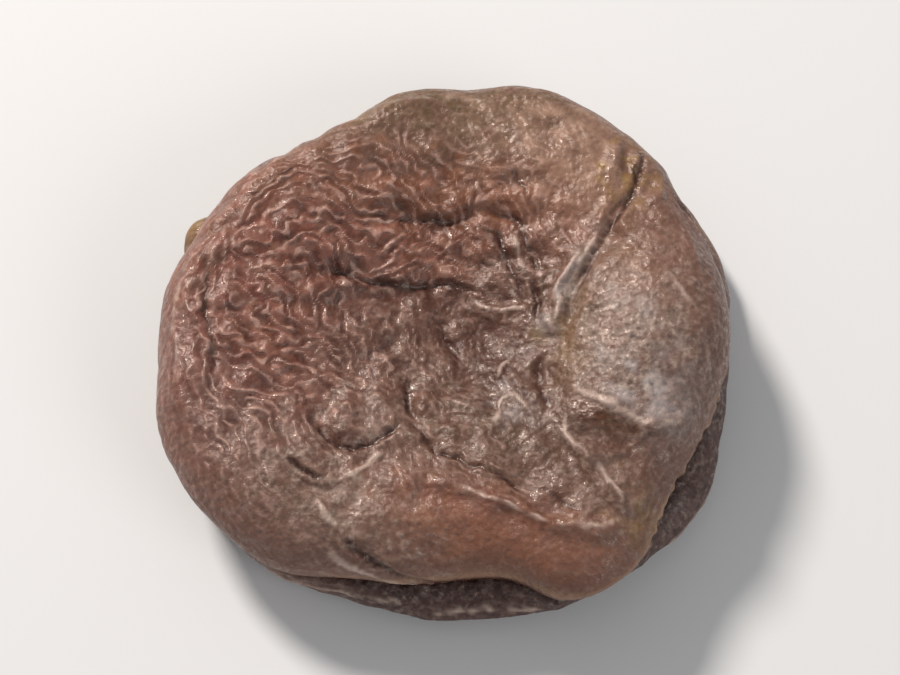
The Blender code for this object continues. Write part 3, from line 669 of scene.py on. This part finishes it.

# %% [markdown]
# ## Colours, by the way the fruit dried, and painted light and shade
# Without sulphur an apricot dries brown. Thin skin over amber flesh shows rosy or caramel, moist flesh
# is umber, skin that lifted off the flesh is grey or mauve with a dusty bloom, thin edges let light
# through and look olive or honey, and creases hold dark syrup. Some finishes are painted light and
# shade as well: the umber share also paints the shade in the stone's bed, the hollows and along some
# creases, the syrup share paints the shade in the creases and the split, and the silvery patches are a
# painted sheen, the sky reflected on the lobe. Painting by hand would do. Here each finish is a share
# from 0 to 1, made of oval patches and stored on the mesh's points, so that it can be read and moved,
# and the material mixes its colours by the shares.

# %% Patches of each finish on the upper side: x, y, half-length, half-width, turn, share
FINISHES = {
    "rosy": (
        (-15.0, -1.0, 11.0, 6.5, 78, 0.95), (-6.0, 7.0, 9.0, 5.0, 10, 0.65), (2.0, 8.6, 7.0, 2.0, 0, 0.6),
        (1.0, -15.5, 6.0, 1.8, -15, 0.35),
    ),
    # umber: moist flesh, and painted shade in the stone's bed, the hollow in front of the lobe and along
    # creases
    "umber_and_shade": (
        (2.2, -1.2, 4.0, 2.6, -45, 0.95), (-1.4, 9.3, 3.8, 1.0, 0, 0.8), (5.2, 6.0, 3.2, 4.0, 10, 0.85),
        (-3.0, 3.4, 6.0, 1.3, -6, 0.55), (12.8, -9.4, 3.4, 1.5, -32, 0.95), (5.0, -3.6, 3.4, 3.4, 0, 0.75),
        (7.4, -6.0, 1.6, 5.0, 0, 0.5), (5.0, -9.0, 6.5, 4.0, -25, 0.6), (-7.4, -10.2, 3.4, 0.8, 0, 0.4),
        (-4.0, -1.0, 5.0, 3.4, 0, 0.45), (-8.0, 4.6, 5.0, 1.4, -8, 0.5), (-16.4, 1.0, 1.2, 5.0, 4, 0.4),
        (17.6, -6.0, 1.0, 2.6, 10, 0.35),
    ),
    "caramel": (
        (6.5, -18.2, 9.5, 3.0, -8, 0.35), (-1.0, -16.5, 5.0, 2.6, -20, 0.6),
        (-20.5, 5.0, 2.4, 6.0, -12, 0.5), (-14.4, -1.6, 2.4, 1.8, -60, 0.75),
        (-1.0, 11.0, 9.0, 3.0, -3, 0.85), (-14.0, 13.0, 6.0, 2.4, 45, 0.5),
        (1.0, 7.4, 7.0, 2.4, 0, 0.6), (14.0, 3.6, 2.6, 2.0, 0, 0.3),
        (-12.0, 2.6, 3.0, 2.0, -40, 0.4), (4.6, 10.6, 4.0, 2.4, -10, 0.5),
    ),
    "amber": (
        (12.5, -8.8, 2.0, 0.8, -30, 0.7), (-2.0, 10.8, 6.0, 1.2, -3, 0.4), (18.9, -8.4, 1.4, 1.0, 20, 0.7),
    ),
    "honey": (
        (14.8, -16.6, 1.5, 2.2, 10, 0.6), (-8.6, 19.0, 3.6, 1.0, 25, 0.6),
        (15.1, 13.4, 1.1, 3.4, -20, 0.85), (9.4, -1.5, 1.6, 4.0, 0, 0.35),
    ),
    "mauve": (
        (-17.0, -8.6, 7.0, 4.4, -55, 0.75), (-10.0, -19.0, 8.0, 3.0, -32, 0.6),
        (-20.5, -1.0, 2.6, 6.0, 0, 0.4),
    ),
    "grey": (
        (15.6, -3.6, 7.0, 5.2, 75, 0.95), (11.5, 1.6, 5.0, 2.2, 70, 0.6), (5.0, -7.4, 6.6, 4.4, -25, 0.65),
        (5.0, 4.4, 3.6, 3.2, 20, 0.4), (-9.0, -14.0, 9.0, 4.4, -35, 0.65), (-6.0, -8.4, 3.6, 2.6, 0, 0.6),
        (-5.0, -1.0, 5.0, 3.4, 0, 0.4), (11.0, -13.6, 4.0, 2.4, -30, 0.6),
    ),
    # silvery: a painted sheen, the pale sky reflected on the lobe and on the seam's bank, painted in
    # blue-grey
    "painted_sheen": (
        (15.8, -7.4, 2.6, 1.3, -18, 0.95), (16.4, -6.6, 3.2, 2.4, 60, 0.55),
        (9.6, 3.8, 3.6, 0.6, 62, 0.8), (7.6, 0.2, 0.9, 0.7, 0, 0.5), (5.0, -6.8, 1.2, 1.4, 0, 0.6),
        (13.4, 1.4, 1.2, 1.0, 0, 0.5), (15.6, 0.2, 0.8, 1.6, 0, 0.4), (12.2, -3.4, 1.4, 0.9, 30, 0.4),
    ),
    "olive": (
        (11.6, 3.4, 1.8, 5.4, -25, 0.6), (4.0, -8.6, 5.0, 3.4, -30, 0.5),
        (1.0, 20.0, 13.0, 3.6, 0, 0.9), (2.0, 15.6, 8.0, 2.6, 0, 0.5),
        (-10.0, 17.5, 6.0, 3.0, 35, 0.5), (9.5, -1.5, 2.4, 4.6, 0, 0.5),
        (-13.0, -15.0, 7.0, 3.4, -45, 0.5), (2.0, -9.5, 5.0, 2.6, -20, 0.4),
    ),
    "tan": (
        (11.0, 13.8, 5.4, 4.4, 0, 0.9), (14.4, 2.2, 4.6, 3.0, 75, 0.6), (8.0, 18.0, 6.0, 3.0, -10, 0.5),
    ),
    # syrup: dark syrup along the creases, and the painted shade that falls in them
    "syrup_and_shade": (
        (14.7, 12.2, 3.4, 0.3, 66, 0.6), (21.2, 9.2, 3.2, 0.4, -50, 0.6), (-3.4, 4.0, 6.0, 0.4, -3, 0.7),
        (7.2, 2.2, 2.2, 0.6, 85, 0.6), (6.6, 7.0, 2.6, 0.35, -62, 0.6), (-3.1, -5.8, 1.8, 0.35, 90, 0.7),
    ),
}


# %% Give the patches ragged edges
RAGGED_SEED = 41
RAGGED_SIZE, RAGGED = 2.6, 0.3  # ragged at this scale, by this share
NARROW = 2.0  # a patch of a smaller half-width is shifted less, or it would break into rings


def finish_share(ovals, ragged):
    share = np.zeros_like(x)
    for *oval, most in ovals:
        shift = ragged * min(1, oval[3] / NARROW)
        share = share + (1 - share) * most * patch(x + shift, y - shift, *oval)
    return np.clip(share * (1 + RAGGED * ragged), 0, 1)


# %% The lower half is darker and more evenly coloured
BELOW = {
    "rosy": 0.3, "umber_and_shade": 0.25, "caramel": 0.1, "amber": 0.0, "honey": 0.0, "mauve": 0.4, "grey": 0.25,
    "painted_sheen": 0.1, "olive": 0.1, "tan": 0.1, "syrup_and_shade": 0.1,
}
BLOTCH_SIZE, BLOTCHED = 9.0, 0.6
PALE_PATCH = (24.0, 10.5, 7.0, 3.5, 112)  # a patch of the lower half at the back right that is painted pale tan, with less of the painted shade
PALE_PATCH_TAN, NUB_HONEY = 0.8, 0.9
DUSTLESS = 0.8  # less dust where the umber share paints moist flesh and painted shade, by this share

ragged_skin = Skin(RAGGED_SEED, SKIN_CELLS)
blotch = ragged_skin.at(ragged_skin.drift(BLOTCH_SIZE), x, y)
shares = {}
for finish, ovals in FINISHES.items():
    ragged = ragged_skin.at(ragged_skin.drift(RAGGED_SIZE), x, y)
    under = np.clip(BELOW[finish] * (1 + BLOTCHED * blotch), 0, 1)
    shares[finish] = finish_share(ovals, ragged) * upper + under * (1 - upper)
shares["honey"] += NUB_HONEY * nub
pale_patch = (1 - upper) * patch(x, y, *PALE_PATCH)
shares["tan"] += PALE_PATCH_TAN * (1 - shares["tan"]) * pale_patch
shares["grey"] *= 1 - DUSTLESS * shares["umber_and_shade"]
print("shares, on average:", {name: round(float(share.mean()), 2) for name, share in shares.items()})

# %% [markdown]
# Some shares follow the form itself, and most of them are painted light: the painted shade in the
# valleys, hollows and creases, the pale dry ridges with a painted highlight on them, the syrup and
# painted shade in the split and the creases, the painted shade of the lower half, and the painted light
# along the thin edge of the lip, a highlight and the glow of light through it. They could be found by
# the shader's pointiness, but that depends on the mesh. Here they come from the same numbers as the
# form. The fine wave is stored too, so that the shader can draw its crests sharper than the mesh's
# points would.

# %% Shares that follow the form
SPLIT_OPEN = (0.4, 2.0)  # mm of depth between which the split opens
SPLIT_SYRUP_SHADE_REACH = 0.8  # mm above and below the split that are painted dark: syrup, and painted shade in the gap
CREASE_SYRUP_SHADE, CREASE_SYRUP_SHADE_DEPTH = 0.6, (0.06, 0.18)  # a share of syrup and painted shade, and mm of crease depth between which it comes in
# Painted shade comes in between these depths in mm: in the thin creases, and in the form's hollows by a
# share
CREASE_DARK = (0.02, 0.15)
HOLLOW_DARK, HOLLOW_DEPTH = 0.4, (0.2, 1.0)
STREAK_RISE = (0.03, 0.15)  # mm of height between which a thin ridge is painted pale: dry skin, and a painted highlight
SHADE_BELOW, FRONT_SHADE_BELOW, PALE_PATCH_UNSHADED = 0.35, 0.6, 0.9  # painted shade of the lower half: everywhere, more in front, less in the pale patch at the back right
FRONT_FROM, FRONT_TO = (236, 262), (352, 359)  # degrees round the fruit
FRONT_OUT = (14, 20)  # mm from the middle
EDGE_PLACE, EDGE_WIDTH = 2.1, 0.45  # mm from the split
EDGE_EVEN = 0.55  # share of the thin edge where the lip isn't torn
MIDDLE_DARK, FINE_DARK, DARK_POWER = 0.55, 0.5, 1.4  # how dark the painted shade in the wrinkles' valleys is
# How pale the wrinkles' ridges are painted: dry skin, and a painted highlight on the crests
MIDDLE_PALE, FINE_PALE = 0.25, 0.5
UMBER_HIDES = 0.6  # where the umber share paints moist flesh and shade, pale ridges and their painted highlight show less, by this share

open_split = ease(*SPLIT_OPEN, depth)
# The open split and the deeper creases are painted nearly black: partly syrup, partly painted shade
in_split = np.exp(-((from_split / SPLIT_SYRUP_SHADE_REACH) ** 2)) * open_split
in_crease = CREASE_SYRUP_SHADE * ease(*CREASE_SYRUP_SHADE_DEPTH, -crease_rise)
shares["syrup_and_shade"] = np.maximum(np.maximum(shares["syrup_and_shade"], in_split), in_crease)
# Painted shade on the lower half, which lies under the upper one, darkest at the front
front = ease(*FRONT_FROM, degrees) * (1 - ease(*FRONT_TO, degrees))
shaded = np.clip(SHADE_BELOW + FRONT_SHADE_BELOW * front * ease(*FRONT_OUT, skin_radius), 0, 1)
shares["painted_shade_below"] = (1 - upper) * (1 - nub) * (1 - PALE_PATCH_UNSHADED * pale_patch) * shaded
# Painted light along the upper lip's thin edge above the split: a highlight, and the glow of light through
# the thin lip
thin_edge = np.exp(-(((from_split - EDGE_PLACE) / EDGE_WIDTH) ** 2)) * upper * open_split
shares["edge"] = np.clip(thin_edge * (EDGE_EVEN + (1 - EDGE_EVEN) * torn), 0, 1)
# Painted shade in the wrinkles' valleys, the deep hollows of the form and the thin creases
wrinkle_valley_shade = MIDDLE_DARK * (1 - middle_ridge) ** DARK_POWER + FINE_DARK * (1 - fine_ridge) ** DARK_POWER
hollow_shade = ease(*HOLLOW_DEPTH, -main_relief) * HOLLOW_DARK
shares["painted_valley_shade"] = np.clip(fine_share * wrinkle_valley_shade + hollow_shade + ease(*CREASE_DARK, -crease_rise), 0, 1)
# Pale ridges: paler dry skin, and a painted highlight along the crests
shown = fine_share * (1 - UMBER_HIDES * shares["umber_and_shade"])
shares["ridge"] = np.clip(shown * (MIDDLE_PALE * middle_ridge**2 + FINE_PALE * fine_ridge), 0, 1)
shares["pale_streak_and_highlight"] = ease(*STREAK_RISE, pale_rise)
shares["wrinkled"] = shown
shares["fine_wave"] = fine_wave

# %% Store the shares on the mesh's points
for name, share in shares.items():
    layer = grid.attributes.new(name, "FLOAT", "POINT")
    layer.data.foreach_set("value", share.astype(np.float32))
print("the mesh carries", len(shares), "shares")

# %% [markdown]
# ## The skin's material
# Dried fruit skin is a thin, tough film over sticky, half-clear flesh. Its gloss is a satin one, a
# little wet in the valleys, where sugar has seeped out, and dull where the skin has lifted and is
# dusty. Light enters the flesh and leaves it redder, so it has a short subsurface depth. All colours
# are given as the hex values that one would pick in a paint program.

# %% Helpers for the material
def colour(hex_value):
    """An sRGB hex value as linear light."""
    parts = [int(hex_value[i : i + 2], 16) / 255 for i in (1, 3, 5)]
    return [p / 12.92 if p <= 0.04045 else ((p + 0.055) / 1.055) ** 2.4 for p in parts] + [1.0]


def add_node(tree, kind, inputs=None, **settings):
    """A new node. Inputs name or number its sockets, each with a value or with another node's output."""
    node = tree.nodes.new(kind)
    for name, value in settings.items():
        setattr(node, name, value)
    for name, value in (inputs or {}).items():
        if isinstance(value, bpy.types.NodeSocket):
            tree.links.new(value, node.inputs[name])
        else:
            node.inputs[name].default_value = value
    return node


# %% Sun-dried skin: its brown, and the tones laid over it
SKIN_BROWN = "#6c4b3e"
TONES = (  # in the order they are laid on: share, colour, strength
    ("rosy", "#8b4a3d", 0.85),
    ("olive", "#5f4d34", 0.8),
    ("tan", "#9e7c68", 0.85),
    ("caramel", "#8a5438", 0.85),
    ("mauve", "#7b5b54", 0.8),
    ("grey", "#746359", 0.8),
    # moist flesh, and painted shade in the bed, the hollows and the creases
    ("umber_and_shade", "#45291f", 0.92),
    ("amber", "#5e3614", 0.85),
    ("honey", "#8c6c36", 0.85),
    # a painted sheen, the sky's reflection on the lobe
    ("painted_sheen", "#a9a19f", 0.7),
    # painted shade of the lower half
    ("painted_shade_below", "#382829", 0.85),
    # painted shade of the valleys, hollows and creases
    ("painted_valley_shade", "#3c1c13", 0.72),
    # paler dry skin, and a painted highlight on the crests
    ("ridge", "#b28c7e", 0.65),
    # thin raised ridges: pale dry skin, and a painted highlight
    ("pale_streak_and_highlight", "#cbb4a6", 0.75),
    # painted highlight and glow along the lip's thin edge
    ("edge", "#ab8868", 0.75),
    # syrup, and painted shade in the split and the creases
    ("syrup_and_shade", "#260e0a", 0.92),
)
MOTTLE_SIZE = 1.3 * MM
CELL_SIZE = 0.45 * MM  # cells of the skin, drawn as coarse as they need to be to show
GRIT_SIZE = 0.5 * MM  # grains of dried sugar, drawn coarser than they are for the same reason
CREST_FROM, CREST_TO = 0.25, 1.2  # where a wrinkle's crest begins and where it is full

material = bpy.data.materials.new("sun_dried_skin")
material.use_nodes = True
tree = material.node_tree
shader = tree.nodes["Principled BSDF"]
place = add_node(tree, "ShaderNodeTexCoord").outputs["Object"]

# %% Patterns in the skin: mottling, cells, grit and the wrinkles' crests
mottle = add_node(
    tree, "ShaderNodeTexNoise", {"Vector": place, "Scale": 1 / MOTTLE_SIZE, "Detail": 6.0, "Roughness": 0.68}
).outputs["Fac"]
cells = add_node(
    tree, "ShaderNodeTexVoronoi", {"Vector": place, "Scale": 1 / CELL_SIZE}, feature="SMOOTH_F1"
).outputs["Distance"]
grit = add_node(
    tree, "ShaderNodeTexNoise", {"Vector": place, "Scale": 1 / GRIT_SIZE, "Detail": 4.0, "Roughness": 0.62}
).outputs["Fac"]
wave = add_node(tree, "ShaderNodeAttribute", attribute_name="fine_wave").outputs["Fac"]
crest_line = add_node(
    tree, "ShaderNodeMapRange", {"Value": wave, "From Min": CREST_FROM, "From Max": CREST_TO},
    interpolation_type="SMOOTHSTEP",
).outputs["Result"]
wrinkled = add_node(tree, "ShaderNodeAttribute", attribute_name="wrinkled").outputs["Fac"]
crests = add_node(tree, "ShaderNodeMath", {0: crest_line, 1: wrinkled}, operation="MULTIPLY").outputs[0]

# %% Lay the tones over the brown
patchy = add_node(
    tree, "ShaderNodeMapRange",
    {"Value": mottle, "From Min": 0.32, "From Max": 0.68, "To Min": 0.6, "To Max": 1.25},
).outputs["Result"]
share_of = {}
blend = colour(SKIN_BROWN)
for name, tone, most in TONES:
    share_of[name] = add_node(tree, "ShaderNodeAttribute", attribute_name=name).outputs["Fac"]
    even = add_node(tree, "ShaderNodeMath", {0: share_of[name], 1: most}, operation="MULTIPLY").outputs[0]
    amount = add_node(
        tree, "ShaderNodeMath", {0: even, 1: patchy}, operation="MULTIPLY", use_clamp=True
    ).outputs[0]
    mix = add_node(tree, "ShaderNodeMix", {0: amount, 6: blend, 7: colour(tone)}, data_type="RGBA")
    blend = mix.outputs[2]
print("the skin mixes", len(TONES), "tones over its brown")

# %% Pale crests with a painted highlight, pale specks and dark pits
# The crests are painted pale, partly as dry skin and partly as a painted highlight, broken into dashes the
# way a lamp catches them
broken = add_node(
    tree, "ShaderNodeMapRange", {"Value": mottle, "From Min": 0.42, "From Max": 0.6, "To Max": 0.8}
).outputs["Result"]
crest_highlight = add_node(tree, "ShaderNodeMath", {0: crests, 1: broken}, operation="MULTIPLY").outputs[0]
dusty = add_node(
    tree, "ShaderNodeMapRange", {"Value": share_of["grey"], "To Min": 0.1, "To Max": 0.62}
).outputs["Result"]
speck = add_node(
    tree, "ShaderNodeMapRange", {"Value": grit, "From Min": 0.5, "From Max": 0.66, "To Max": dusty}
).outputs["Result"]
pit = add_node(
    tree, "ShaderNodeMapRange", {"Value": grit, "From Min": 0.48, "From Max": 0.32, "To Max": dusty}
).outputs["Result"]
for amount, tone in ((crest_highlight, "#c09d90"), (speck, "#bba698"), (pit, "#331d18")):
    mix = add_node(tree, "ShaderNodeMix", {0: amount, 6: blend, 7: colour(tone)}, data_type="RGBA")
    blend = mix.outputs[2]
tree.links.new(blend, shader.inputs["Base Color"])

# %% [markdown]
# The gloss varies with the same shares: duller where the skin is grey and dusty, wetter where syrup
# stands and along the wrinkles' crests, and some grains of grit glint. The crests, the cells and the
# grit are raised by bumps of about a tenth of a millimetre, because they are too fine for the mesh.
# What is the same all over the skin is set on the shader's own sockets.

# %% Gloss
roughness = add_node(
    tree, "ShaderNodeMapRange",
    {"Value": mottle, "From Min": 0.3, "From Max": 0.7, "To Min": 0.3, "To Max": 0.53},
).outputs["Result"]
for share, change in ((share_of["grey"], 0.08), (share_of["syrup_and_shade"], -0.2), (crests, -0.22)):
    parts = {0: share, 1: change, 2: roughness}
    roughness = add_node(tree, "ShaderNodeMath", parts, operation="MULTIPLY_ADD").outputs[0]
sparkle = add_node(
    tree, "ShaderNodeMapRange", {"Value": grit, "From Min": 0.54, "From Max": 0.62, "To Max": 0.3}
).outputs["Result"]
roughness = add_node(tree, "ShaderNodeMath", {0: roughness, 1: sparkle}, operation="SUBTRACT").outputs[0]
tree.links.new(roughness, shader.inputs["Roughness"])

# %% Bump, from the crests down to the grit
crest_bump = add_node(
    tree, "ShaderNodeBump", {"Height": crests, "Strength": 1.0, "Distance": 0.05 * MM}
).outputs["Normal"]
pebbles = add_node(tree, "ShaderNodeMath", {0: cells, 1: grit}, operation="ADD").outputs[0]
bump = add_node(
    tree, "ShaderNodeBump", {"Height": pebbles, "Normal": crest_bump, "Strength": 0.9, "Distance": 0.12 * MM}
).outputs["Normal"]
tree.links.new(bump, shader.inputs["Normal"])
for socket, value in {
    "IOR": 1.45,
    "Specular Tint": colour("#f6e8e1"),
    "Specular IOR Level": 0.6,
    "Subsurface Weight": 0.1,
    "Subsurface Radius": (1.0, 0.4, 0.2),
    "Subsurface Scale": 0.6 * MM,
}.items():
    shader.inputs[socket].default_value = value
apricot.data.materials.append(material)

# %% [markdown]
# ## What the piece stands for
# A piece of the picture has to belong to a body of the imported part. This one rides on its only body,
# hides the coarse solid and takes that solid's place.

# %% Tell the frame
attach(apricot, "root")
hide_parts(FRUIT)

# %% [markdown]
# ## A plain stage
# The fruit lies on a plain pale floor in soft studio light: a soft lamp high at the back left, which
# rakes over the wrinkles and puts small glints on them, a larger weak lamp at the front right, and a
# pale sky. A small sharp lamp would show the wrinkles more, but also throw the hard shadows of bare
# sunlight. The floor is white card, which is matt, so the lamps don't glare on it.

# %% Floor
FLOOR_SIZE = 3.0
floor_form = bmesh.new()
bmesh.ops.create_grid(floor_form, x_segments=1, y_segments=1, size=FLOOR_SIZE / 2)
floor_mesh = bpy.data.meshes.new("floor")
floor_form.to_mesh(floor_mesh)
floor_form.free()
floor = bpy.data.objects.new("floor", floor_mesh)
bpy.context.scene.collection.objects.link(floor)
board = bpy.data.materials.new("white_card")
board.use_nodes = True
board.node_tree.nodes["Principled BSDF"].inputs["Base Color"].default_value = colour("#dcdcdc")
board.node_tree.nodes["Principled BSDF"].inputs["Roughness"].default_value = 0.9
floor.data.materials.append(board)


# %% Lamps
def lamp(name, place, aim, size, power, tint):
    light = bpy.data.lights.new(name, "AREA")
    light.shape = "DISK"
    light.size = size
    light.energy = power
    light.color = colour(tint)[:3]
    holder = bpy.data.objects.new(name, light)
    holder.location = place
    holder.rotation_euler = (Vector(aim) - Vector(place)).to_track_quat("-Z", "Y").to_euler()
    bpy.context.scene.collection.objects.link(holder)


middle = (box_low + box_high) / 2
lamp("high_back_lamp", (-0.26, 0.34, 0.37), middle, 0.12, 3.7, "#fff8f2")
lamp("front_lamp", (0.36, -0.30, 0.30), middle, 0.30, 0.75, "#f4f5f8")
world = bpy.data.worlds.new("pale_sky")
bpy.context.scene.world = world
world.use_nodes = True
world.node_tree.nodes["Background"].inputs["Color"].default_value = colour("#f6f6f6")
world.node_tree.nodes["Background"].inputs["Strength"].default_value = 0.36
bpy.context.scene.view_settings.view_transform = "Standard"

# %% [markdown]
# ## The camera
# The photograph looks down on the fruit's face, from about 66 degrees above the table, with a long
# lens. Its near rim is a little larger than its far one, and the lower lip just shows in front.

# %% Camera
ELEVATION = math.radians(66)
LENS = 85.0
CAMERA_DISTANCE = 0.155
camera_data = bpy.data.cameras.new("camera")
camera_data.lens = LENS
camera = bpy.data.objects.new("camera", camera_data)
back = Vector((0, -math.cos(ELEVATION), math.sin(ELEVATION)))
camera.location = middle + back * CAMERA_DISTANCE
camera.rotation_euler = (-back).to_track_quat("-Z", "Y").to_euler()
camera_data.clip_start, camera_data.clip_end = 0.01, 10
bpy.context.scene.collection.objects.link(camera)
bpy.context.scene.camera = camera
